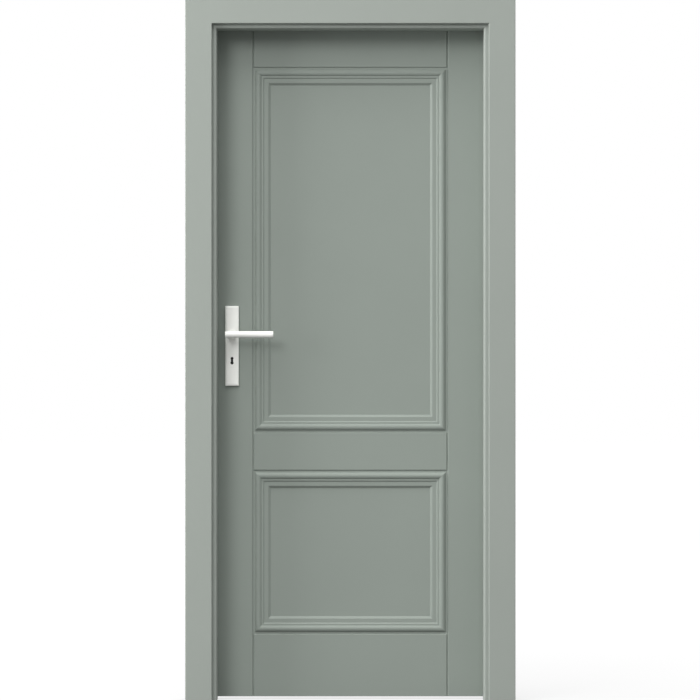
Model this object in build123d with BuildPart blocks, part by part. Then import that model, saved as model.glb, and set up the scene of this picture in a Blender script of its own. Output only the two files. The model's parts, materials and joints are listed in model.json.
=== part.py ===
from build123d import *
import os

os.makedirs("parts", exist_ok=True)

# Interior door in its frame, in millimetres.
# X runs along the wall, Y through the wall away from the push side, Z up.
# The origin is on the floor, in the middle of the passage and of the wall's thickness.

# Passage, wall and floor
passage_width = 800.0
passage_height = 2016.0
wall_thickness = 100.0
floor_gap = 8.0

# Front casing, with a tongue that slides in the jamb
casing_width = 80.0
casing_thickness = 14.0
casing_reveal = 14.0
casing_round = 2.5
tongue_inset = 4.0
tongue_thickness = 6.0
tongue_length = 25.0
tongue_room = 8.0

# Jamb lining, whose back edge is the door stop
jamb_thickness = 28.0
jamb_nose_radius = 6.0
glue_gap = 0.15

# Rebated casing on the hinge side of the wall
block_width = 24.5
block_tongue_inset = 4.0
block_tongue_thickness = 5.0
block_tongue_length = 8.0

# Gasket in the stop
gasket_inset = 2.0
gasket_width = 8.0
gasket_wall = 1.0
gasket_stem_width = 3.0
gasket_stem_depth = 4.0
gasket_relief = 0.3

# Flat keys across the mitres of the jamb
corner_key_width = 30.0
corner_key_thickness = 6.0
corner_key_length = 24.0
corner_key_depth_share = 0.67

# Leaf, rebated on both sides and at the top
leaf_thickness = 40.0
lip_thickness = 15.0
lip_width = 10.0
stop_overlap = 12.0
edge_gap = 3.5
lip_gap = 1.0
gasket_gap = 4.0
leaf_edge_round = 1.5
stile_width = 119.0
top_rail_height = 122.5
lock_rail_height = 116.5
bottom_rail_height = 189.0
lower_opening_height = 492.0
joint_chamfer = 3.0

# Loose tenons between rails and stiles
tenon_thickness = 10.0
tenon_length = 100.0
tenon_height_share = 0.5
tenon_clearance = 0.1

# Panels
panel_thickness = 22.0
panel_tongue = 10.0
panel_slack = 0.5
panel_clearance = 0.1

# Panel moulding, from the opening's edge inwards
flange_width = 5.2
bead_width = 19.6
fillet_width = 5.2
step_width = 3.4
flat_width = 12.0
bevel_width = 7.0
flange_drop = 2.5
bead_rise = 4.5
fillet_drop = 0.5
step_drop = 2.8
moulding_edge = 0.5

# Lock
backset = 55.0
spindle_height = 1092.0
key_drop = 72.0
lock_drop = 34.0
faceplate_height = 235.0
faceplate_width = 20.0
faceplate_thickness = 3.0
case_height = 165.0
case_depth = 85.0
case_thickness = 15.0
case_wall = 1.5
lock_clearance = 0.3
mortise_clearance = 0.3
fit_clearance = 0.08

# Keyhole: two round ends and a waist
keyhole_radius = 4.5
keyhole_foot_radius = 4.8
keyhole_waist = 7.0
keyhole_drop = 13.5
key_room = 3.0
ward_width = 18.0
ward_thickness = 1.0
ward_gap = 1.0

# Follower and spindle
spindle_size = 8.0
spindle_length = 106.0
follower_radius = 11.0
follower_boss_radius = 9.0
follower_arm_width = 6.0
follower_arm_thickness = 5.0
follower_arm_reach = 18.0

# Latch bolt and its spring
latch_throw = 10.5
latch_height = 18.0
latch_rise = 18.0
latch_nose = 3.0
latch_head_length = 14.0
tail_rise = 20.0
tail_height = 6.0
lug_rise = 13.0
lug_play = 0.8
lug_thickness = 5.0
spring_radius = 3.2
spring_wire = 1.0
spring_turns = 5

# Dead bolt
bolt_thickness = 8.0
bolt_height = 26.0
bolt_rise = 1.0
bolt_head_length = 28.0
bolt_tail_length = 38.0
bolt_tail_height = 6.0
bolt_sink = 0.3
talon_width = 8.0
talon_height = 3.0

# Strike plate
strike_height = 190.0
strike_width = 20.0
strike_thickness = 2.0
strike_corner = 3.0
strike_play = 2.4
strike_pocket_depth = 15.0

# Countersunk screws of the lock, the strike plate and the handle plates
screw_head_radius = 3.6
screw_head_height = 2.0
screw_radius = 2.0
screw_length = 20.0
screw_end_distance = 9.5
screw_clearance = 0.1

# Handle plates
plate_width = 40.0
plate_height = 240.0
plate_thickness = 9.0
plate_bevel_width = 5.0
plate_bevel_height = 1.4
plate_wall = 3.0
plate_screw_distance = 12.0
plate_boss_wall = 3.0
collar_radius = 15.0
collar_height = 4.0
collar_bevel = 1.2
sleeve_radius = 3.0
sleeve_length = 38.0
sleeve_thread_length = 14.0
plate_screw_length = 28.0

# Levers
lever_radius = 10.0
lever_length = 145.0
lever_overhang = 19.5
lever_projection = 47.0
lever_end_bevel = 0.8
neck_radius = 9.0
neck_seat = 6.0
grub_radius = 2.5
grub_sink = 0.5
grub_projection = 20.0

# Drill-in hinges
hinge_end_distance = 250.0
hinge_barrel_radius = 7.0
hinge_half_length = 42.0
hinge_joint_gap = 1.6
hinge_washer_play = 0.2
hinge_end_bevel = 2.0
hinge_lip_gap = 1.5
hinge_casing_gap = 2.5
hinge_pin_radius = 4.0
hinge_pin_reach = 34.0
hinge_stud_radius = 3.5
hinge_stud_spacing = 20.0
hinge_frame_stud_depth = 25.0
hinge_leaf_stud_depth = 40.0
hinge_stud_clearance = 0.1

# Cuts run this far past the faces that they open
overrun = 2.0

# Places along Y, through the wall
wall_front = -wall_thickness / 2
wall_back = wall_thickness / 2
front_face = wall_front - casing_thickness
back_face = wall_back + casing_thickness
lip_front = back_face + lip_gap
leaf_back = lip_front + lip_thickness
leaf_front = leaf_back - leaf_thickness
leaf_middle = (leaf_front + leaf_back) / 2
stop_face = leaf_front - gasket_gap
panel_front = leaf_middle - panel_thickness / 2
panel_back = leaf_middle + panel_thickness / 2

# Distances outwards from the passage's faces
casing_edge = casing_reveal + casing_width
rebate_edge = stop_overlap + edge_gap
tongue_near = casing_reveal + tongue_inset
tongue_far = tongue_near + tongue_thickness
block_tongue_near = rebate_edge + block_tongue_inset
block_tongue_far = block_tongue_near + block_tongue_thickness
gasket_far = gasket_inset + gasket_width
gasket_middle = (gasket_inset + gasket_far) / 2
stem_near = gasket_middle - gasket_stem_width / 2
stem_far = gasket_middle + gasket_stem_width / 2

# Places along X
passage_half = passage_width / 2
frame_half = passage_half + casing_edge
leaf_half = passage_half + stop_overlap
lip_half = leaf_half + lip_width
rebate_half = passage_half + rebate_edge
rail_half = leaf_half - stile_width

# Places along Z
frame_height = passage_height + casing_edge
leaf_bottom = floor_gap
leaf_top = passage_height + stop_overlap
lip_top = leaf_top + lip_width
lower_opening = (leaf_bottom + bottom_rail_height, leaf_bottom + bottom_rail_height + lower_opening_height)
upper_opening = (lower_opening[1] + lock_rail_height, leaf_top - top_rail_height)

# Places of the lock and the handle
lock_face = -leaf_half
lock_depth = leaf_front + (leaf_thickness - lip_thickness) / 2
spindle_x = lock_face + backset
spindle_z = leaf_bottom + spindle_height
key_z = spindle_z - key_drop
lock_z = spindle_z - lock_drop
faceplate_inner = lock_face + faceplate_thickness
case_end = faceplate_inner + case_depth
case_front = lock_depth - case_thickness / 2
case_back = lock_depth + case_thickness / 2
cavity_front = case_front + case_wall
cavity_back = case_back - case_wall
latch_z = spindle_z + latch_rise
bolt_z = key_z + bolt_rise
strike_z = (latch_z + bolt_z) / 2
strike_face = -rebate_half

# Hinge axis and heights
hinge_x = lip_half + hinge_lip_gap + hinge_barrel_radius
hinge_y = back_face + hinge_casing_gap + hinge_barrel_radius
hinge_heights = {
    "bottom": leaf_bottom + hinge_end_distance,
    "middle": (leaf_bottom + leaf_top) / 2,
    "top": leaf_top - hinge_end_distance,
}

UP = Vector(0, 0, 1)
RIGHT = Vector(1, 0, 0)
AWAY = Vector(0, 1, 0)
leaf_mirror = Plane(origin=(0, leaf_middle, 0), z_dir=AWAY)


def finish(piece, name):
    """Label a finished piece and write its file."""
    piece.label = name
    export_step(piece, f"parts/{name}.step")


def field(low, high, mode=Mode.ADD):
    """A rectangle between two opposite corners, in the open sketch."""
    with Locations(((low[0] + high[0]) / 2, (low[1] + high[1]) / 2)):
        Rectangle(abs(high[0] - low[0]), abs(high[1] - low[1]), mode=mode)


def block(low, high, mode=Mode.ADD):
    """A box between two opposite corners, in the open part."""
    with Locations((Vector(low) + Vector(high)) / 2):
        Box(abs(high[0] - low[0]), abs(high[1] - low[1]), abs(high[2] - low[2]), mode=mode)


def rod(start, end, radius, mode=Mode.ADD):
    """A round bar or bore between two points, in the open part."""
    axis = Vector(end) - Vector(start)
    with BuildSketch(Plane(origin=start, z_dir=axis)) as section:
        Circle(radius)
    extrude(section.sketch, amount=axis.length, mode=mode)


def screw(head, direction, length, clearance=0, mode=Mode.ADD):
    """A countersunk screw, or its hole, from the flat of its head."""
    base = (Align.CENTER, Align.CENTER, Align.MIN)
    with Locations(Plane(origin=head, z_dir=direction).location):
        Cone(
            screw_head_radius + clearance,
            screw_radius + clearance,
            screw_head_height,
            align=base,
            mode=mode,
        )
        Cylinder(screw_radius + clearance, length + clearance, align=base, mode=mode)


# Sections of the frame, drawn as distance outwards from the passage's face and place through the wall

with BuildSketch() as jamb_section:
    field((0, wall_front), (jamb_thickness, stop_face))
    fillet(jamb_section.vertices().group_by(Axis.Y)[0].sort_by(Axis.X)[0], jamb_nose_radius)
    field(
        (tongue_near - glue_gap, wall_front),
        (tongue_far + glue_gap, wall_front + tongue_length + tongue_room),
        mode=Mode.SUBTRACT,
    )
    field(
        (block_tongue_near - glue_gap, stop_face - block_tongue_length - glue_gap),
        (block_tongue_far + glue_gap, stop_face),
        mode=Mode.SUBTRACT,
    )
    field(
        (stem_near - glue_gap, stop_face - gasket_stem_depth - glue_gap),
        (stem_far + glue_gap, stop_face),
        mode=Mode.SUBTRACT,
    )

with BuildSketch() as front_casing_section:
    field((casing_reveal, front_face), (casing_edge, wall_front))
    fillet(front_casing_section.vertices().group_by(Axis.Y)[0], casing_round)
    field((tongue_near, wall_front), (tongue_far, wall_front + tongue_length))

with BuildSketch() as rebated_casing_section:
    field((rebate_edge, wall_back), (casing_edge, back_face))
    fillet(rebated_casing_section.vertices().group_by(Axis.Y)[-1], casing_round)
    field((rebate_edge, stop_face), (rebate_edge + block_width, wall_back))
    field((block_tongue_near, stop_face - block_tongue_length), (block_tongue_far, stop_face))

with BuildSketch() as gasket_section:
    with BuildLine():
        bulb = ThreePointArc(
            (gasket_inset, stop_face),
            (gasket_middle, leaf_front - gasket_relief),
            (gasket_far, stop_face),
        )
        Line(bulb @ 1, bulb @ 0)
    make_face()
    offset(amount=-gasket_wall, mode=Mode.SUBTRACT)
    field((stem_near, stop_face - gasket_stem_depth), (stem_far, stop_face))

member_plane = {
    "left": Plane(origin=(-passage_half, 0, 0), x_dir=-RIGHT, z_dir=-UP),
    "right": Plane(origin=(passage_half, 0, 0), x_dir=RIGHT, z_dir=UP),
    "head": Plane(origin=(0, 0, passage_height), x_dir=UP, z_dir=-RIGHT),
}
mitre_plane = {
    "left": Plane(origin=(-passage_half, 0, passage_height), z_dir=RIGHT + UP),
    "right": Plane(origin=(passage_half, 0, passage_height), z_dir=UP - RIGHT),
}


def mitred_member(side, section):
    """One length of a frame section, from the floor to its mitre or between both mitres."""
    with BuildPart() as member:
        with BuildSketch(member_plane[side]):
            add(section.sketch)
        if side == "head":
            extrude(amount=frame_half, both=True)
            split(bisect_by=mitre_plane["left"], keep=Keep.TOP)
            split(bisect_by=mitre_plane["right"], keep=Keep.TOP)
        else:
            extrude(amount=frame_height, dir=UP)
            split(bisect_by=mitre_plane[side], keep=Keep.BOTTOM)
    return member.part


# Jamb lining, with a flat key across each of its two mitres


def corner_keys(clearance=0, mode=Mode.ADD):
    """The keys that hold the mitres together, or their slots."""
    key_y = wall_front + (stop_face - wall_front) * corner_key_depth_share
    for side, outwards in (("left", -RIGHT), ("right", RIGHT)):
        middle = mitre_plane[side].origin + (outwards + UP) * (jamb_thickness / 2) + AWAY * key_y
        with BuildSketch(Plane(origin=middle, x_dir=AWAY, z_dir=mitre_plane[side].z_dir)) as section:
            Rectangle(corner_key_width + 2 * clearance, corner_key_thickness + 2 * clearance)
        extrude(section.sketch, amount=corner_key_length / 2 + clearance, both=True, mode=mode)


for side, name in (("left", "jamb_lock_side"), ("right", "jamb_hinge_side"), ("head", "jamb_head")):
    with BuildPart() as jamb:
        add(mitred_member(side, jamb_section))
        corner_keys(tenon_clearance, Mode.SUBTRACT)
    finish(jamb.part, name)

with BuildPart() as frame_corner_keys:
    corner_keys()
finish(frame_corner_keys.part, "frame_corner_keys")

# Casings

for side in member_plane:
    with BuildPart() as front_casing:
        add(mitred_member(side, front_casing_section))
    finish(front_casing.part, f"front_casing_{side}")

strike_outline = Plane(origin=(strike_face, lock_depth, strike_z), x_dir=AWAY, z_dir=RIGHT)
strike_screw_reach = strike_height / 2 - screw_end_distance
strike_screw_heads = [
    (strike_face, lock_depth, strike_z - strike_screw_reach),
    (strike_face, lock_depth, strike_z + strike_screw_reach),
]
latch_half_width = (cavity_back - cavity_front) / 2 - lock_clearance


def bolt_windows(play):
    """Height, half width and half height of the windows round both bolts."""
    return [
        (latch_z, latch_half_width + play, latch_height / 2 + play),
        (bolt_z, bolt_thickness / 2 + play, bolt_height / 2 + play),
    ]


def strike_windows(near, far):
    """The openings for both bolts, cut along X in the open part."""
    for window_z, half_width, half_height in bolt_windows(strike_play):
        block(
            (near, lock_depth - half_width, window_z - half_height),
            (far, lock_depth + half_width, window_z + half_height),
            mode=Mode.SUBTRACT,
        )


with BuildPart() as rebated_casing_left:
    add(mitred_member("left", rebated_casing_section))
    with BuildSketch(strike_outline):
        RectangleRounded(
            strike_width + 2 * glue_gap, strike_height + 2 * glue_gap, strike_corner + glue_gap
        )
    extrude(amount=-strike_thickness, mode=Mode.SUBTRACT)
    strike_windows(strike_face, strike_face - strike_pocket_depth)
    for head in strike_screw_heads:
        screw(head, -RIGHT, screw_length, screw_clearance, Mode.SUBTRACT)
finish(rebated_casing_left.part, "rebated_casing_left")

hinge_stud_offsets = [
    (hinge_joint_gap + hinge_half_length - hinge_stud_spacing) / 2,
    (hinge_joint_gap + hinge_half_length + hinge_stud_spacing) / 2,
]


def frame_studs(hinge_z, clearance=0, mode=Mode.ADD):
    """The two studs of a hinge's frame part, or their holes in the casing."""
    for offset_z in hinge_stud_offsets:
        rod(
            (hinge_x, hinge_y, hinge_z - offset_z),
            (hinge_x, back_face - hinge_frame_stud_depth - clearance, hinge_z - offset_z),
            hinge_stud_radius + clearance,
            mode,
        )


def leaf_studs(hinge_z, clearance=0, mode=Mode.ADD):
    """The two studs of a hinge's leaf part, or their holes in the stile."""
    for offset_z in hinge_stud_offsets:
        rod(
            (hinge_x, hinge_y, hinge_z + offset_z),
            (lip_half - hinge_leaf_stud_depth - clearance, hinge_y, hinge_z + offset_z),
            hinge_stud_radius + clearance,
            mode,
        )


with BuildPart() as rebated_casing_right:
    add(mitred_member("right", rebated_casing_section))
    for hinge_z in hinge_heights.values():
        frame_studs(hinge_z, hinge_stud_clearance, Mode.SUBTRACT)
finish(rebated_casing_right.part, "rebated_casing_right")

with BuildPart() as rebated_casing_head:
    add(mitred_member("head", rebated_casing_section))
finish(rebated_casing_head.part, "rebated_casing_head")

with BuildPart() as frame_gasket:
    for side in member_plane:
        add(mitred_member(side, gasket_section))
finish(frame_gasket.part, "frame_gasket")

# Strike plate and its screws

with BuildPart() as strike_plate:
    with BuildSketch(strike_outline):
        RectangleRounded(strike_width, strike_height, strike_corner)
    extrude(amount=-strike_thickness)
    strike_windows(strike_face + overrun, strike_face - strike_thickness - overrun)
    for head in strike_screw_heads:
        screw(head, -RIGHT, screw_length, screw_clearance, Mode.SUBTRACT)
finish(strike_plate.part, "strike_plate")

with BuildPart() as strike_screws:
    for head in strike_screw_heads:
        screw(head, -RIGHT, screw_length)
finish(strike_screws.part, "strike_screws")

# Stiles: a section with a lip on its outer edge, seen from the middle of the leaf outwards

with BuildSketch() as stile_section:
    field((rail_half, leaf_front), (leaf_half, leaf_back))
    field((leaf_half, lip_front), (lip_half, leaf_back))
    chamfer(stile_section.vertices().group_by(Axis.X)[0], joint_chamfer)
    fillet(stile_section.vertices().group_by(Axis.X)[-1], leaf_edge_round)

rail_spans = {
    "top_rail": (upper_opening[1], leaf_top),
    "lock_rail": (lower_opening[1], upper_opening[0]),
    "bottom_rail": (leaf_bottom, lower_opening[0]),
}
groove_depth = panel_tongue + panel_slack
groove_front = panel_front - panel_clearance
groove_back = panel_back + panel_clearance


def rail_tenons(spans, clearance=0, mode=Mode.ADD):
    """The loose tenons at both ends of the rails with these spans, or their slots."""
    for low, high in spans:
        tenon_height = (high - low) * tenon_height_share
        for joint_x in (-rail_half, rail_half):
            with Locations((joint_x, leaf_middle, (low + high) / 2)):
                Box(
                    tenon_length + 2 * clearance,
                    tenon_thickness + 2 * clearance,
                    tenon_height + 2 * clearance,
                    mode=mode,
                )


def plain_stile(outwards):
    """A stile with its lip, panel grooves and tenon slots; outwards is -1 on the left, 1 on the right."""
    with BuildPart() as stile:
        with BuildSketch(Plane(origin=(0, 0, leaf_bottom), x_dir=RIGHT * outwards, z_dir=UP * outwards)):
            add(stile_section.sketch)
        extrude(amount=lip_top - leaf_bottom, dir=UP)
        block(
            (outwards * rail_half, leaf_front - overrun, leaf_top),
            (outwards * (lip_half + overrun), lip_front, lip_top + overrun),
            mode=Mode.SUBTRACT,
        )
        for low, high in (lower_opening, upper_opening):
            block(
                (outwards * rail_half, groove_front, low - groove_depth),
                (outwards * (rail_half + groove_depth), groove_back, high + groove_depth),
                mode=Mode.SUBTRACT,
            )
        rail_tenons(rail_spans.values(), tenon_clearance, Mode.SUBTRACT)
    return stile.part


with BuildPart() as hinge_stile:
    add(plain_stile(1))
    for hinge_z in hinge_heights.values():
        leaf_studs(hinge_z, hinge_stud_clearance, Mode.SUBTRACT)
finish(hinge_stile.part, "hinge_stile")

# The lock stile is cut out for the lock, the spindle, the key and the screws through both plates

with BuildSketch() as keyhole:
    Circle(keyhole_radius)
    with Locations((0, -keyhole_drop)):
        Circle(keyhole_foot_radius)
    field((-keyhole_waist / 2, -keyhole_drop), (keyhole_waist / 2, 0))


def cut_keyhole(near, far, room=0):
    """The keyhole through the open part between two places along Y, with room round it."""
    with BuildSketch(Plane(origin=(spindle_x, near, key_z), x_dir=RIGHT, z_dir=-AWAY)) as hole:
        add(keyhole.sketch)
        if room:
            offset(amount=room)
    extrude(hole.sketch, amount=far - near, dir=AWAY, mode=Mode.SUBTRACT)


faceplate_plane = Plane(origin=(lock_face, lock_depth, lock_z), x_dir=UP, z_dir=-RIGHT)
faceplate_screw_reach = faceplate_height / 2 - screw_end_distance
faceplate_screw_heads = [
    (lock_face, lock_depth, lock_z - faceplate_screw_reach),
    (lock_face, lock_depth, lock_z + faceplate_screw_reach),
]
plate_screw_reach = plate_height / 2 - plate_screw_distance
plate_screw_heights = (lock_z - plate_screw_reach, lock_z + plate_screw_reach)
plate_front = leaf_front - plate_thickness
plate_back = leaf_back + plate_thickness

with BuildPart() as lock_stile:
    add(plain_stile(-1))
    with BuildSketch(faceplate_plane):
        SlotOverall(faceplate_height + 2 * glue_gap, faceplate_width + 2 * glue_gap)
    extrude(amount=-faceplate_thickness, mode=Mode.SUBTRACT)
    block(
        (lock_face, case_front - mortise_clearance, lock_z - case_height / 2 - mortise_clearance),
        (
            case_end + mortise_clearance,
            case_back + mortise_clearance,
            lock_z + case_height / 2 + mortise_clearance,
        ),
        mode=Mode.SUBTRACT,
    )
    rod(
        (spindle_x, leaf_front, spindle_z),
        (spindle_x, leaf_back, spindle_z),
        follower_boss_radius + mortise_clearance,
        Mode.SUBTRACT,
    )
    cut_keyhole(leaf_front, leaf_back, key_room)
    for head in faceplate_screw_heads:
        screw(head, RIGHT, screw_length, screw_clearance, Mode.SUBTRACT)
    for screw_z in plate_screw_heights:
        rod(
            (spindle_x, leaf_front, screw_z),
            (spindle_x, leaf_back, screw_z),
            sleeve_radius + screw_clearance,
            Mode.SUBTRACT,
        )
finish(lock_stile.part, "lock_stile")

# Rails, whose edges along the openings are grooved and chamfered


def rail(name):
    """A rail between the stiles; the top one carries the leaf's upper lip."""
    low, high = rail_spans[name]
    with BuildPart() as piece:
        with BuildSketch(Plane.YZ):
            field((leaf_front, low), (leaf_back, high))
            if name != "bottom_rail":
                field((groove_front, low), (groove_back, low + groove_depth), mode=Mode.SUBTRACT)
            if name != "top_rail":
                field((groove_front, high - groove_depth), (groove_back, high), mode=Mode.SUBTRACT)
            else:
                field((lip_front, high), (leaf_back, lip_top))
        extrude(amount=rail_half, both=True)
        rail_tenons([(low, high)], tenon_clearance, Mode.SUBTRACT)
        end_edges = piece.edges().filter_by(Axis.Z).group_by(Axis.Y)
        joint_edges = end_edges[0] + end_edges[-1]
        if name != "bottom_rail":
            low_edges = piece.edges().filter_by(Axis.X).group_by(Axis.Z)[0].group_by(Axis.Y)
            joint_edges += low_edges[0] + low_edges[-1]
        if name != "top_rail":
            high_edges = piece.edges().filter_by(Axis.X).group_by(Axis.Z)[-1].group_by(Axis.Y)
            joint_edges += high_edges[0] + high_edges[-1]
        chamfer(joint_edges, joint_chamfer)
    return piece.part


for name in rail_spans:
    finish(rail(name), name)

with BuildPart() as rail_tenon_set:
    rail_tenons(rail_spans.values())
finish(rail_tenon_set.part, "rail_tenons")

# Panels, held in the grooves

for name, (low, high) in (("upper_panel", upper_opening), ("lower_panel", lower_opening)):
    with BuildPart() as panel:
        block(
            (-rail_half - panel_tongue, panel_front, low - panel_tongue),
            (rail_half + panel_tongue, panel_back, high + panel_tongue),
        )
    finish(panel.part, name)

# Panel mouldings: a round bead between a flange and a stepped inner slope, mitred at the corners

panel_recess = (leaf_thickness - panel_thickness) / 2
flange_height = panel_recess - flange_drop
crest_height = panel_recess + bead_rise
fillet_height = panel_recess - fillet_drop
flat_height = fillet_height - step_drop
bead_end = flange_width + bead_width
fillet_end = bead_end + fillet_width
step_end = fillet_end + step_width
flat_end = step_end + flat_width
moulding_width = flat_end + bevel_width

with BuildSketch() as moulding_section:
    with BuildLine():
        Polyline((0, 0), (0, flange_height), (flange_width, flange_height))
        ThreePointArc(
            (flange_width, flange_height),
            ((flange_width + bead_end) / 2, crest_height),
            (bead_end, fillet_height),
        )
        Polyline(
            (bead_end, fillet_height),
            (fillet_end, fillet_height),
            (step_end, flat_height),
            (flat_end, flat_height),
            (moulding_width, moulding_edge),
            (moulding_width, 0),
            (0, 0),
        )
    make_face()


def moulding(middle, inwards, outwards, length):
    """A length of moulding on a panel, from the middle of its outer edge, mitred at both ends."""
    along = inwards.cross(outwards)
    with BuildPart() as piece:
        with BuildSketch(Plane(origin=middle, x_dir=inwards, z_dir=along)):
            add(moulding_section.sketch)
        extrude(amount=length / 2, both=True)
        for end in (along, -along):
            mitre = Plane(origin=middle + end * (length / 2), z_dir=end + inwards)
            split(bisect_by=mitre, keep=Keep.BOTTOM)
    return piece.part


for face, face_y, outwards in (("front", panel_front, -AWAY), ("back", panel_back, AWAY)):
    for panel_name, (low, high) in (("upper", upper_opening), ("lower", lower_opening)):
        middle_z = (low + high) / 2
        sides = {
            "left": (Vector(-rail_half, face_y, middle_z), RIGHT, high - low),
            "right": (Vector(rail_half, face_y, middle_z), -RIGHT, high - low),
            "top": (Vector(0, face_y, high), -UP, 2 * rail_half),
            "bottom": (Vector(0, face_y, low), UP, 2 * rail_half),
        }
        for side, (middle, inwards, length) in sides.items():
            finish(moulding(middle, inwards, outwards, length), f"{face}_moulding_{panel_name}_{side}")

# Lock case, with a ward between the two keyholes, and its cover

case_low = lock_z - case_height / 2
case_high = lock_z + case_height / 2
bolt_front = lock_face + bolt_sink
bolt_head_end = bolt_front + bolt_head_length
bolt_top = bolt_z + bolt_height / 2
bolt_tail_bottom = bolt_top - bolt_tail_height

with BuildPart() as lock_case:
    block((faceplate_inner, case_front, case_low), (case_end, cavity_back, case_high))
    block(
        (faceplate_inner, cavity_front, case_low + case_wall),
        (case_end - case_wall, cavity_back, case_high - case_wall),
        mode=Mode.SUBTRACT,
    )
    rod(
        (spindle_x, case_front, spindle_z),
        (spindle_x, cavity_front, spindle_z),
        follower_boss_radius + fit_clearance,
        Mode.SUBTRACT,
    )
    cut_keyhole(case_front, cavity_front)
    block(
        (spindle_x - ward_width / 2, lock_depth - ward_thickness / 2, case_low),
        (spindle_x + ward_width / 2, lock_depth + ward_thickness / 2, bolt_tail_bottom - ward_gap),
    )
finish(lock_case.part, "lock_case")

with BuildPart() as lock_cover:
    block((faceplate_inner, cavity_back, case_low), (case_end, case_back, case_high))
    rod(
        (spindle_x, cavity_back, spindle_z),
        (spindle_x, case_back, spindle_z),
        follower_boss_radius + fit_clearance,
        Mode.SUBTRACT,
    )
    cut_keyhole(cavity_back, case_back)
finish(lock_cover.part, "lock_cover")

# Face plate and its screws

with BuildPart() as lock_faceplate:
    with BuildSketch(faceplate_plane):
        SlotOverall(faceplate_height, faceplate_width)
    extrude(amount=-faceplate_thickness)
    for window_z, half_width, half_height in bolt_windows(lock_clearance):
        block(
            (lock_face, lock_depth - half_width, window_z - half_height),
            (faceplate_inner, lock_depth + half_width, window_z + half_height),
            mode=Mode.SUBTRACT,
        )
    for head in faceplate_screw_heads:
        screw(head, RIGHT, screw_length, screw_clearance, Mode.SUBTRACT)
finish(lock_faceplate.part, "lock_faceplate")

with BuildPart() as faceplate_screws:
    for head in faceplate_screw_heads:
        screw(head, RIGHT, screw_length)
finish(faceplate_screws.part, "faceplate_screws")

# Follower: a hub on the spindle, with an arm that draws the latch bolt

arm_front = lock_depth - follower_arm_thickness / 2
arm_back = lock_depth + follower_arm_thickness / 2

with BuildPart() as lock_follower:
    block(
        (spindle_x - follower_arm_width / 2, arm_front, spindle_z),
        (spindle_x + follower_arm_width / 2, arm_back, spindle_z + follower_arm_reach),
    )
    fillet(
        lock_follower.edges().filter_by(Axis.Y).group_by(Axis.Z)[-1],
        follower_arm_width / 2 - fit_clearance,
    )
    rod(
        (spindle_x, cavity_front + lock_clearance, spindle_z),
        (spindle_x, cavity_back - lock_clearance, spindle_z),
        follower_radius,
    )
    rod((spindle_x, case_front, spindle_z), (spindle_x, case_back, spindle_z), follower_boss_radius)
    hole_half = spindle_size / 2 + fit_clearance
    block(
        (spindle_x - hole_half, case_front, spindle_z - hole_half),
        (spindle_x + hole_half, case_back, spindle_z + hole_half),
        mode=Mode.SUBTRACT,
    )
finish(lock_follower.part, "lock_follower")

with BuildPart() as spindle:
    block(
        (spindle_x - spindle_size / 2, leaf_middle - spindle_length / 2, spindle_z - spindle_size / 2),
        (spindle_x + spindle_size / 2, leaf_middle + spindle_length / 2, spindle_z + spindle_size / 2),
    )
finish(spindle.part, "spindle")

# Latch bolt: a bevelled head, a tail over the follower and a lug beside its arm

latch_tip = lock_face - latch_throw
latch_head_end = lock_face + latch_head_length
lug_near = spindle_x + follower_arm_width / 2 + lug_play
lug_far = lug_near + lug_thickness

with BuildPart() as latch_bolt:
    with BuildSketch(Plane.XY.offset(latch_z - latch_height / 2)):
        with BuildLine():
            Polyline(
                (latch_head_end, lock_depth - latch_half_width),
                (latch_head_end, lock_depth + latch_half_width),
                (latch_tip, lock_depth + latch_half_width),
                (latch_tip, lock_depth + latch_half_width - latch_nose),
                (lock_face, lock_depth - latch_half_width),
                close=True,
            )
        make_face()
    extrude(amount=latch_height)
    block(
        (latch_head_end, arm_front, spindle_z + tail_rise),
        (lug_far, arm_back, spindle_z + tail_rise + tail_height),
    )
    block((lug_near, arm_front, spindle_z + lug_rise), (lug_far, arm_back, spindle_z + tail_rise))
finish(latch_bolt.part, "latch_bolt")

# Latch spring, between the lug and the end of the case

spring_z = spindle_z + (lug_rise + tail_rise) / 2
spring_start = lug_far + spring_wire / 2 + fit_clearance
spring_end = case_end - case_wall - spring_wire / 2 - fit_clearance

with BuildPart() as latch_spring:
    with BuildLine() as coil:
        Helix(
            pitch=(spring_end - spring_start) / spring_turns,
            height=spring_end - spring_start,
            radius=spring_radius,
            center=(spring_start, lock_depth, spring_z),
            direction=RIGHT,
        )
    with BuildSketch(Plane(origin=coil.line @ 0, z_dir=coil.line % 0)):
        Rectangle(spring_wire, spring_wire)
    sweep(path=coil.line, is_frenet=True)
finish(latch_spring.part, "latch_spring")

# Dead bolt, drawn in, with the notch that the key turns in

with BuildPart() as dead_bolt:
    block(
        (bolt_front, lock_depth - bolt_thickness / 2, bolt_z - bolt_height / 2),
        (bolt_head_end, lock_depth + bolt_thickness / 2, bolt_top),
    )
    block(
        (bolt_head_end, lock_depth - bolt_thickness / 2, bolt_tail_bottom),
        (bolt_head_end + bolt_tail_length, lock_depth + bolt_thickness / 2, bolt_top),
    )
    block(
        (spindle_x - talon_width / 2, lock_depth - bolt_thickness / 2, bolt_tail_bottom),
        (spindle_x + talon_width / 2, lock_depth + bolt_thickness / 2, bolt_tail_bottom + talon_height),
        mode=Mode.SUBTRACT,
    )
finish(dead_bolt.part, "dead_bolt")

# Handle plates: hollow behind, with a bevelled rim and a collar round the lever's neck

neck_bore = neck_radius + fit_clearance
plate_outline = Plane(origin=(spindle_x, leaf_front, lock_z), x_dir=RIGHT, z_dir=-AWAY)


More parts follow.
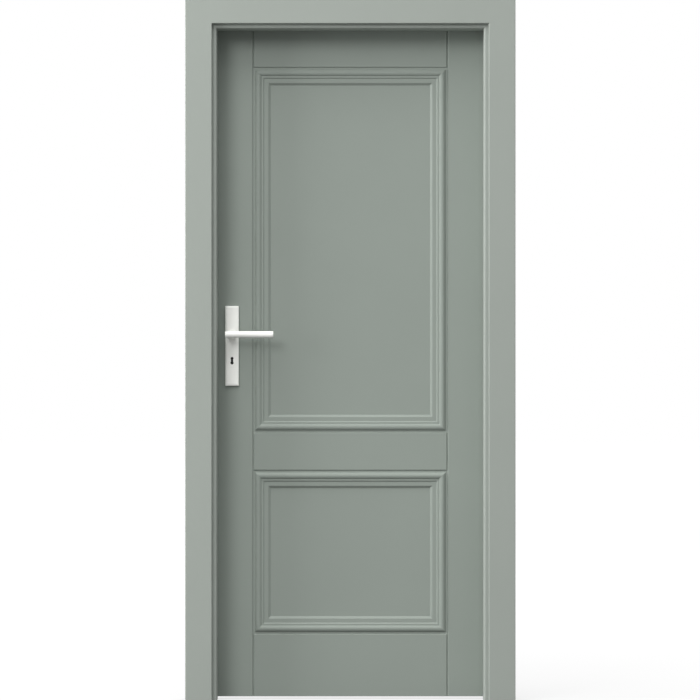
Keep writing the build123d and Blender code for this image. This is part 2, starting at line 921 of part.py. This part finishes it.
def plain_plate():
    """The plate on the front face, without its screw holes."""
    with BuildPart() as plate:
        with BuildSketch(plate_outline):
            Rectangle(plate_width, plate_height)
        extrude(amount=plate_thickness - plate_bevel_height)
        rim = Plane(plate.faces().sort_by(Axis.Y)[0], x_dir=RIGHT)
        with BuildSketch(rim):
            Rectangle(plate_width, plate_height)
        with BuildSketch(rim.offset(plate_bevel_height)):
            Rectangle(plate_width - 2 * plate_bevel_width, plate_height - 2 * plate_bevel_width)
        loft()
        with BuildSketch(plate_outline):
            Rectangle(plate_width - 2 * plate_wall, plate_height - 2 * plate_wall)
            with Locations((0, lock_drop)):
                Circle(neck_bore + plate_boss_wall, mode=Mode.SUBTRACT)
            with Locations((0, lock_drop - key_drop)):
                add(offset(keyhole.sketch, amount=plate_boss_wall, mode=Mode.PRIVATE), mode=Mode.SUBTRACT)
            with Locations((0, plate_screw_reach), (0, -plate_screw_reach)):
                Circle(screw_head_radius + plate_boss_wall, mode=Mode.SUBTRACT)
        extrude(amount=plate_thickness - plate_bevel_height - plate_wall, mode=Mode.SUBTRACT)
        rod(
            (spindle_x, plate_front, spindle_z),
            (spindle_x, plate_front - collar_height, spindle_z),
            collar_radius,
        )
        chamfer(plate.edges().filter_by(GeomType.CIRCLE).sort_by(Axis.Y)[0], collar_bevel)
        rod(
            (spindle_x, leaf_front, spindle_z),
            (spindle_x, plate_front - collar_height, spindle_z),
            neck_bore,
            Mode.SUBTRACT,
        )
        cut_keyhole(plate_front, leaf_front)
    return plate.part


with BuildPart() as front_handle_plate:
    add(plain_plate())
    for screw_z in plate_screw_heights:
        rod(
            (spindle_x, leaf_front, screw_z),
            (spindle_x, plate_front, screw_z),
            sleeve_radius + screw_clearance,
            Mode.SUBTRACT,
        )
finish(front_handle_plate.part, "front_handle_plate")

with BuildPart() as back_handle_plate:
    mirror(plain_plate(), about=leaf_mirror)
    for screw_z in plate_screw_heights:
        screw((spindle_x, plate_back, screw_z), -AWAY, plate_screw_length, screw_clearance, Mode.SUBTRACT)
finish(back_handle_plate.part, "back_handle_plate")

# Screws from the back plate into sleeves, whose ends show on the front plate

with BuildPart() as plate_screws:
    for screw_z in plate_screw_heights:
        sleeve_end = plate_front + sleeve_length
        rod((spindle_x, plate_front, screw_z), (spindle_x, sleeve_end, screw_z), sleeve_radius)
        rod(
            (spindle_x, sleeve_end - sleeve_thread_length, screw_z),
            (spindle_x, sleeve_end, screw_z),
            screw_radius + screw_clearance,
            Mode.SUBTRACT,
        )
        screw((spindle_x, plate_back, screw_z), -AWAY, plate_screw_length)
finish(plate_screws.part, "plate_screws")

# Levers: a round bar across a round neck, which holds the spindle with a grub screw from below

lever_y = leaf_front - lever_projection
neck_end = leaf_front - plate_thickness + neck_seat
lever_start = spindle_x - lever_overhang
grub_y = leaf_front - grub_projection
socket_half = spindle_size / 2 + fit_clearance


def grub_screw(clearance=0, mode=Mode.ADD):
    """The grub screw in the front lever's neck, or its hole."""
    rod(
        (spindle_x, grub_y, spindle_z - spindle_size / 2 - fit_clearance),
        (spindle_x, grub_y, spindle_z - neck_radius + (0 if clearance else grub_sink)),
        grub_radius + clearance,
        mode,
    )


with BuildPart() as front_lever:
    rod(
        (lever_start, lever_y, spindle_z),
        (lever_start + lever_length, lever_y, spindle_z),
        lever_radius,
    )
    chamfer(front_lever.edges().filter_by(GeomType.CIRCLE), lever_end_bevel)
    rod((spindle_x, neck_end, spindle_z), (spindle_x, lever_y, spindle_z), neck_radius)
    block(
        (spindle_x - socket_half, neck_end, spindle_z - socket_half),
        (spindle_x + socket_half, leaf_middle - spindle_length / 2, spindle_z + socket_half),
        mode=Mode.SUBTRACT,
    )
    grub_screw(screw_clearance, Mode.SUBTRACT)
finish(front_lever.part, "front_lever")

with BuildPart() as back_lever:
    mirror(front_lever.part, about=leaf_mirror)
finish(back_lever.part, "back_lever")

with BuildPart() as front_grub_screw:
    grub_screw()

with BuildPart() as lever_grub_screws:
    add(front_grub_screw.part)
    mirror(front_grub_screw.part, about=leaf_mirror)
finish(lever_grub_screws.part, "lever_grub_screws")

# Hinges: a lower half in the frame, with a fixed pin, and an upper half on the leaf

half_start = hinge_joint_gap / 2
half_end = half_start + hinge_half_length
pin_reach = half_start + hinge_pin_reach


def hinge_half(hinge_z, direction):
    """One barrel of a hinge, below the joint (-1) or above it (1), open towards the joint."""
    axis = UP * direction
    centre = Vector(hinge_x, hinge_y, hinge_z)
    with BuildPart() as half:
        rod(centre + axis * half_start, centre + axis * half_end, hinge_barrel_radius)
        chamfer(half.edges().sort_by(Axis((hinge_x, hinge_y, hinge_z), axis))[-1], hinge_end_bevel)
        if direction > 0:
            leaf_studs(hinge_z)
        else:
            frame_studs(hinge_z)
        bore_end = centre + axis * (pin_reach + fit_clearance)
        rod(centre + axis * half_start, bore_end, hinge_pin_radius + fit_clearance, Mode.SUBTRACT)
    return half.part


for name, hinge_z in hinge_heights.items():
    finish(hinge_half(hinge_z, -1), f"hinge_frame_part_{name}")
    finish(hinge_half(hinge_z, 1), f"hinge_leaf_part_{name}")

with BuildPart() as hinge_pins:
    for hinge_z in hinge_heights.values():
        rod(
            (hinge_x, hinge_y, hinge_z - pin_reach),
            (hinge_x, hinge_y, hinge_z + pin_reach),
            hinge_pin_radius,
        )
finish(hinge_pins.part, "hinge_pins")

washer_half = hinge_joint_gap / 2 - hinge_washer_play

with BuildPart() as hinge_washers:
    for hinge_z in hinge_heights.values():
        low = (hinge_x, hinge_y, hinge_z - washer_half)
        high = (hinge_x, hinge_y, hinge_z + washer_half)
        rod(low, high, hinge_barrel_radius)
        rod(low, high, hinge_pin_radius + fit_clearance, Mode.SUBTRACT)
finish(hinge_washers.part, "hinge_washers")
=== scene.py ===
"""Looks of the interior door in its frame: paint, handle, metal and rubber, with floor, light and camera."""

import json
import math

import bmesh
import bpy
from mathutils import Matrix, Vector


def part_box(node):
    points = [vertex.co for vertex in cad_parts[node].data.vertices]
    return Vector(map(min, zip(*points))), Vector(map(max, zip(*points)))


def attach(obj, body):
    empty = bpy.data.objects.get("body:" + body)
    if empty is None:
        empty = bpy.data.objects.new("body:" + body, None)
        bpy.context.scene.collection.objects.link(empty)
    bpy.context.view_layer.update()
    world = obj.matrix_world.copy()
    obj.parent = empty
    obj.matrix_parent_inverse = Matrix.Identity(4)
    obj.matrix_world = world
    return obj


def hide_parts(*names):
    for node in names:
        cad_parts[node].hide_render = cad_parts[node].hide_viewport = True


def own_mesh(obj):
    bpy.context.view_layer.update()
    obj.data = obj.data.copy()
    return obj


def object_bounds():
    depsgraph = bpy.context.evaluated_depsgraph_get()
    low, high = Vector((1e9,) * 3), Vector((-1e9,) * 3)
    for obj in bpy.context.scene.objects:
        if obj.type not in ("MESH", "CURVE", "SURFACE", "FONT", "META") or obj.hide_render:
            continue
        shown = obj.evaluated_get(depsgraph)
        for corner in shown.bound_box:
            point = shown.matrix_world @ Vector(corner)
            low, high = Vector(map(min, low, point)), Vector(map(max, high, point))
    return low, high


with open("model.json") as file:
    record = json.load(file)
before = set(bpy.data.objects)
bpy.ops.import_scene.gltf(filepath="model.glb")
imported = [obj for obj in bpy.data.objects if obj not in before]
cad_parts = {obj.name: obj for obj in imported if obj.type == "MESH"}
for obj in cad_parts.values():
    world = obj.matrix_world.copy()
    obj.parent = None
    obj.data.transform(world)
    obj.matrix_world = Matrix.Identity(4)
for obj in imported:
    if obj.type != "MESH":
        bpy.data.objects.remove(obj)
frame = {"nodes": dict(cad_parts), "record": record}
cad_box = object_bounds()
nodes = frame["nodes"]
record = frame["record"]

# Camera: level, in front of the door, with a long lens
image_pixels = 700
sensor_width_mm = 36.0
camera_distance = 10.79
camera_height = 1.0534
camera_side = -0.001
pixel_size_at_leaf = 0.003019

# Colours, as linear values
sage = (0.302, 0.33, 0.302)
# The leaf's sage is darker than the frame's, partly painted shade of its recess in the frame
leaf_sage_with_recess_shade = (0.255, 0.288, 0.259)
handle_white = (0.93, 0.935, 0.895)
steel_grey = (0.56, 0.56, 0.55)
# Dark steel grey is the lock case's own colour, and also painted shade in the screws' drive recesses
dark_steel_and_shade_grey = (0.08, 0.08, 0.08)
gasket_grey = (0.2, 0.21, 0.2)
washer_white = (0.75, 0.75, 0.72)
beech = (0.55, 0.36, 0.18)
floor_grey = (0.14, 0.14, 0.14)
white = (1.0, 1.0, 1.0)

# Texture values at which a varied colour is darkest and lightest
ramp_dark = 0.3
ramp_light = 0.7

# Softened edges
paint_edge = 0.0006
metal_edge = 0.0003
screw_edge = 0.0008
edge_segments = 2
edge_angle = math.radians(14)
weld_distance = 0.00001

# Drive recesses of the screws that show: thin dark crosses that paint in the shade inside each recess
recess_length = 0.0042
recess_width = 0.0011
recess_lift = 0.00005

# Floor: its own light rises with distance as the lamps' light falls, so it is white but for the shadow
floor_size = 60.0
glow_near = 0.71
glow_far = 0.825
glow_start = 1.0
glow_end = 12.0

# Sky: it brightens from the horizon to overhead, and is plain white where it is seen
sky_horizon = 0.03
sky_overhead = 2.0
sky_seen_strength = 1.0

# Lamps by name: place, side length and power
lamps = {
    "key_lamp": ((-3.7, -6.5, 5.2), 3.0, 225.0),
    "top_lamp": ((-1.5, -4.0, 9.0), 4.5, 250.0),
    "side_lamp": ((-6.0, -1.4, 2.5), 2.4, 350.0),
    "back_lamp": ((2.5, 6.0, 5.0), 4.0, 290.0),
}

up = Vector((0.0, 0.0, 1.0))


# Shader helpers


def new_material(name, color, roughness, metallic=0.0):
    """A material with one Principled shader; gives its tree and shader."""
    material = bpy.data.materials.new(name)
    material.use_nodes = True
    tree = material.node_tree
    shader = tree.nodes["Principled BSDF"]
    shader.inputs["Base Color"].default_value = (*color, 1.0)
    shader.inputs["Roughness"].default_value = roughness
    shader.inputs["Metallic"].default_value = metallic
    return material, tree, shader


def noise(tree, scale, detail=2.0, stretch=(1.0, 1.0, 1.0)):
    """Noise in the object's own space; stretch is the density along each axis."""
    place = tree.nodes.new("ShaderNodeTexCoord")
    mapping = tree.nodes.new("ShaderNodeMapping")
    mapping.inputs["Scale"].default_value = stretch
    texture = tree.nodes.new("ShaderNodeTexNoise")
    texture.inputs["Scale"].default_value = scale
    texture.inputs["Detail"].default_value = detail
    tree.links.new(place.outputs["Object"], mapping.inputs["Vector"])
    tree.links.new(mapping.outputs["Vector"], texture.inputs["Vector"])
    return texture.outputs["Fac"]


def tinted(color, factor):
    """A colour made lighter or darker."""
    return tuple(channel * factor for channel in color)


def vary_color(tree, shader, fac, color, darkest, lightest):
    """Base colour that runs from its darkest to its lightest tint with a texture."""
    ramp = tree.nodes.new("ShaderNodeValToRGB")
    dark_end, light_end = ramp.color_ramp.elements
    dark_end.position = ramp_dark
    light_end.position = ramp_light
    dark_end.color = (*tinted(color, darkest), 1.0)
    light_end.color = (*tinted(color, lightest), 1.0)
    tree.links.new(fac, ramp.inputs["Fac"])
    tree.links.new(ramp.outputs["Color"], shader.inputs["Base Color"])


def vary_roughness(tree, shader, fac, low, high):
    """Roughness that runs from low to high with a texture."""
    span = tree.nodes.new("ShaderNodeMapRange")
    span.inputs["To Min"].default_value = low
    span.inputs["To Max"].default_value = high
    tree.links.new(fac, span.inputs["Value"])
    tree.links.new(span.outputs["Result"], shader.inputs["Roughness"])


def add_bump(tree, shader, fac, strength, height):
    """Small relief from a texture; height is in metres."""
    bump = tree.nodes.new("ShaderNodeBump")
    bump.inputs["Strength"].default_value = strength
    bump.inputs["Distance"].default_value = height
    tree.links.new(fac, bump.inputs["Height"])
    tree.links.new(bump.outputs["Normal"], shader.inputs["Normal"])


def math_node(tree, operation, first, second):
    """The result of one sum on two values."""
    node = tree.nodes.new("ShaderNodeMath")
    node.operation = operation
    tree.links.new(first, node.inputs[0])
    tree.links.new(second, node.inputs[1])
    return node.outputs["Value"]


def seen_directly(tree):
    """1 for rays from the camera and for those that mirrors and glass pass on."""
    path = tree.nodes.new("ShaderNodeLightPath").outputs
    passed_on = math_node(tree, "MAXIMUM", path["Is Glossy Ray"], path["Is Transmission Ray"])
    return math_node(tree, "MAXIMUM", path["Is Camera Ray"], passed_on)


# Materials


def lacquer(name, color):
    """Sprayed satin lacquer: fine orange peel and a faint cloudiness."""
    material, tree, shader = new_material(name, color, roughness=0.5)
    shader.inputs["Specular IOR Level"].default_value = 0.3
    vary_color(tree, shader, noise(tree, scale=4.0, detail=3.0), color, darkest=0.985, lightest=1.015)
    vary_roughness(tree, shader, noise(tree, scale=60.0), low=0.46, high=0.56)
    add_bump(tree, shader, noise(tree, scale=650.0, detail=1.0), strength=0.12, height=0.0001)
    return material


def sage_paint():
    """The frame's paint."""
    return lacquer("sage_paint", sage)


def leaf_paint():
    """The leaf's paint, darker than the frame's: in part its own colour, in part painted shade of its recess
    in the frame.
    """
    return lacquer("leaf_paint", leaf_sage_with_recess_shade)


def white_aluminium():
    """White powder coat on cast aluminium."""
    material, tree, shader = new_material("white_aluminium", handle_white, roughness=0.38)
    shader.inputs["Specular IOR Level"].default_value = 0.8
    vary_color(tree, shader, noise(tree, scale=30.0), handle_white, darkest=0.98, lightest=1.0)
    vary_roughness(tree, shader, noise(tree, scale=200.0), low=0.34, high=0.44)
    add_bump(tree, shader, noise(tree, scale=1800.0, detail=1.0), strength=0.1, height=0.00005)
    return material


def satin_steel():
    """Brushed, nickel-plated steel with upright brush lines."""
    material, tree, shader = new_material("satin_steel", steel_grey, roughness=0.32, metallic=1.0)
    lines = noise(tree, scale=900.0, stretch=(1.0, 1.0, 0.03))
    vary_color(tree, shader, noise(tree, scale=80.0), steel_grey, darkest=0.92, lightest=1.05)
    vary_roughness(tree, shader, lines, low=0.26, high=0.42)
    add_bump(tree, shader, lines, strength=0.15, height=0.00005)
    return material


def dark_steel():
    """Burnished steel of the lock case; on the screws' heads its dark crosses are painted shade of their
    drive recesses.
    """
    material, tree, shader = new_material("dark_steel", dark_steel_and_shade_grey, roughness=0.6, metallic=1.0)
    vary_color(tree, shader, noise(tree, scale=60.0), dark_steel_and_shade_grey, darkest=0.8, lightest=1.2)
    add_bump(tree, shader, noise(tree, scale=900.0), strength=0.15, height=0.00005)
    return material


def gasket_rubber():
    """Soft grey rubber with a dry skin."""
    material, tree, shader = new_material("gasket_rubber", gasket_grey, roughness=0.75)
    vary_color(tree, shader, noise(tree, scale=50.0), gasket_grey, darkest=0.9, lightest=1.1)
    add_bump(tree, shader, noise(tree, scale=1500.0), strength=0.2, height=0.0001)
    return material


def washer_plastic():
    """Pale slide plastic."""
    material, tree, shader = new_material("washer_plastic", washer_white, roughness=0.5)
    vary_color(tree, shader, noise(tree, scale=90.0), washer_white, darkest=0.96, lightest=1.0)
    add_bump(tree, shader, noise(tree, scale=2000.0), strength=0.1, height=0.00005)
    return material


def bare_beech():
    """Bare beech with short flecks along the grain."""
    material, tree, shader = new_material("bare_beech", beech, roughness=0.65)
    grain = noise(tree, scale=500.0, detail=4.0, stretch=(0.06, 1.0, 1.0))
    vary_color(tree, shader, grain, beech, darkest=0.75, lightest=1.1)
    add_bump(tree, shader, grain, strength=0.2, height=0.0002)
    return material


# Each material is kept under its maker's name, which is the record's slot
materials = {
    maker.__name__: maker()
    for maker in (
        sage_paint,
        leaf_paint,
        white_aluminium,
        satin_steel,
        dark_steel,
        gasket_rubber,
        washer_plastic,
        bare_beech,
    )
}

# The door's nodes: materials, and edges that are a little round

edge_of_slot = {
    "sage_paint": paint_edge,
    "leaf_paint": paint_edge,
    "white_aluminium": metal_edge,
    "satin_steel": metal_edge,
}
edge_of_node = {"plate_screws": screw_edge}


def soften_edges(piece, width):
    """Round a piece's sharp edges a little, so that they catch the light."""
    weld = piece.modifiers.new("weld", "WELD")
    weld.merge_threshold = weld_distance
    bevel = piece.modifiers.new("bevel", "BEVEL")
    bevel.width = width
    bevel.segments = edge_segments
    bevel.limit_method = "ANGLE"
    bevel.angle_limit = edge_angle
    bevel.use_clamp_overlap = True
    normals = piece.modifiers.new("normals", "WEIGHTED_NORMAL")
    normals.keep_sharp = False


for part in record["subparts"]:
    node_name = part["node"]
    slot_name = part["material_slot"]
    piece = nodes[node_name]
    piece.data.materials.clear()
    piece.data.materials.append(materials[slot_name])
    if slot_name in edge_of_slot:
        soften_edges(piece, edge_of_node.get(node_name, edge_of_slot[slot_name]))

# Drive recesses: a dark cross on the flat of each screw head that shows, painted shade where the recess
# would lie in shadow

# Screws by node: the body that they ride on, and where their heads face
screw_heads = {
    "plate_screws": ("leaf", Vector((0.0, 1.0, 0.0))),
    "faceplate_screws": ("leaf", Vector((-1.0, 0.0, 0.0))),
    "strike_screws": ("frame", Vector((1.0, 0.0, 0.0))),
}


def recess_shade_cross(name, body, centre, facing):
    """A thin cross-shaped solid, half sunk in the flat of a screw head, whose dark steel paints in the shade
    of its drive recess.
    """
    half_length = recess_length / 2
    half_width = recess_width / 2
    along = up
    across = up.cross(facing)
    outline = []
    for quarter in range(4):
        outline.append(along * half_length - across * half_width)
        outline.append(along * half_length + across * half_width)
        outline.append(along * half_width + across * half_width)
        along, across = across, -along
    solid = bmesh.new()
    foot = [solid.verts.new(centre + point - facing * recess_lift) for point in outline]
    top = [solid.verts.new(centre + point + facing * recess_lift) for point in outline]
    solid.faces.new(foot)
    solid.faces.new(top)
    for index in range(len(outline)):
        solid.faces.new((foot[index - 1], foot[index], top[index], top[index - 1]))
    bmesh.ops.recalc_face_normals(solid, faces=solid.faces)
    mesh = bpy.data.meshes.new(name)
    solid.to_mesh(mesh)
    solid.free()
    mesh.materials.append(materials["dark_steel"])
    piece = bpy.data.objects.new(name, mesh)
    bpy.context.scene.collection.objects.link(piece)
    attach(piece, body)


for node_name, (body, facing) in screw_heads.items():
    low, high = (Vector(corner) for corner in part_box(node_name))
    half_size = (high - low) / 2
    head_radius = abs(half_size.dot(up.cross(facing)))
    head_face = (low + high) / 2 + facing * abs(half_size.dot(facing))
    reach = half_size.z - head_radius
    recess_shade_cross(f"{node_name}_recess_shade_low", body, head_face - up * reach, facing)
    recess_shade_cross(f"{node_name}_recess_shade_high", body, head_face + up * reach, facing)

# Latch spring: a copy of the node, with its own mesh, stands for it on the leaf

spring = bpy.data.objects.new("latch_spring_coil", nodes["latch_spring"].data.copy())
bpy.context.scene.collection.objects.link(spring)
soften_edges(spring, metal_edge)
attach(spring, "leaf")
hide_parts("latch_spring")
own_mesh(spring)


# Floor, sky, lamps and camera


def floor_paint():
    """A grey that gathers the shadow, with a glow that only the camera and mirrors see."""
    material = bpy.data.materials.new("floor")
    material.use_nodes = True
    tree = material.node_tree
    tree.nodes.clear()
    diffuse = tree.nodes.new("ShaderNodeBsdfDiffuse")
    diffuse.inputs["Color"].default_value = (*floor_grey, 1.0)
    place = tree.nodes.new("ShaderNodeTexCoord")
    distance = tree.nodes.new("ShaderNodeVectorMath")
    distance.operation = "LENGTH"
    tree.links.new(place.outputs["Object"], distance.inputs[0])
    glow = tree.nodes.new("ShaderNodeMapRange")
    glow.inputs["From Min"].default_value = glow_start
    glow.inputs["From Max"].default_value = glow_end
    glow.inputs["To Min"].default_value = glow_near
    glow.inputs["To Max"].default_value = glow_far
    tree.links.new(distance.outputs["Value"], glow.inputs["Value"])
    light = tree.nodes.new("ShaderNodeEmission")
    strength = math_node(tree, "MULTIPLY", seen_directly(tree), glow.outputs["Result"])
    tree.links.new(strength, light.inputs["Strength"])
    both = tree.nodes.new("ShaderNodeAddShader")
    tree.links.new(diffuse.outputs["BSDF"], both.inputs[0])
    tree.links.new(light.outputs["Emission"], both.inputs[1])
    output = tree.nodes.new("ShaderNodeOutputMaterial")
    tree.links.new(both.outputs["Shader"], output.inputs["Surface"])
    return material


bpy.ops.mesh.primitive_plane_add(size=floor_size)
floor = bpy.context.object
floor.name = "floor"
floor.data.materials.append(floor_paint())


def studio_sky():
    """A sky that lights the door from above and shows plain white."""
    world = bpy.data.worlds.new("studio")
    world.use_nodes = True
    tree = world.node_tree
    tree.nodes.clear()
    place = tree.nodes.new("ShaderNodeTexCoord")
    direction = tree.nodes.new("ShaderNodeSeparateXYZ")
    tree.links.new(place.outputs["Generated"], direction.inputs["Vector"])
    strength = tree.nodes.new("ShaderNodeMapRange")
    strength.inputs["To Min"].default_value = sky_horizon
    strength.inputs["To Max"].default_value = sky_overhead
    tree.links.new(direction.outputs["Z"], strength.inputs["Value"])
    light = tree.nodes.new("ShaderNodeBackground")
    light.inputs["Color"].default_value = (*white, 1.0)
    tree.links.new(strength.outputs["Result"], light.inputs["Strength"])
    seen = tree.nodes.new("ShaderNodeBackground")
    seen.inputs["Color"].default_value = (*white, 1.0)
    seen.inputs["Strength"].default_value = sky_seen_strength
    mix = tree.nodes.new("ShaderNodeMixShader")
    tree.links.new(seen_directly(tree), mix.inputs["Fac"])
    tree.links.new(light.outputs["Background"], mix.inputs[1])
    tree.links.new(seen.outputs["Background"], mix.inputs[2])
    output = tree.nodes.new("ShaderNodeOutputWorld")
    tree.links.new(mix.outputs["Shader"], output.inputs["Surface"])
    return world


bpy.context.scene.world = studio_sky()


def area_lamp(name, place, target, size, power):
    """A square soft lamp that faces a point."""
    lamp_data = bpy.data.lights.new(name, "AREA")
    lamp_data.energy = power
    lamp_data.size = size
    lamp = bpy.data.objects.new(name, lamp_data)
    lamp.location = place
    lamp.rotation_euler = (Vector(target) - Vector(place)).to_track_quat("-Z", "Y").to_euler()
    bpy.context.scene.collection.objects.link(lamp)


cad_low, cad_high = cad_box
door_middle = ((cad_low[0] + cad_high[0]) / 2, 0.0, (cad_low[2] + cad_high[2]) / 2)
for name, (place, size, power) in lamps.items():
    area_lamp(name, place, door_middle, size, power)

leaf_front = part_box("lock_stile")[0][1]
view_width = image_pixels * pixel_size_at_leaf
camera_data = bpy.data.cameras.new("camera")
camera_data.sensor_width = sensor_width_mm
camera_data.lens = sensor_width_mm * (camera_distance + leaf_front) / view_width
camera_data.clip_end = 2 * floor_size
camera = bpy.data.objects.new("camera", camera_data)
camera.location = (camera_side, -camera_distance, camera_height)
camera.rotation_euler = (math.pi / 2, 0.0, 0.0)
bpy.context.scene.collection.objects.link(camera)
bpy.context.scene.camera = camera

bpy.context.scene.view_settings.view_transform = "Standard"
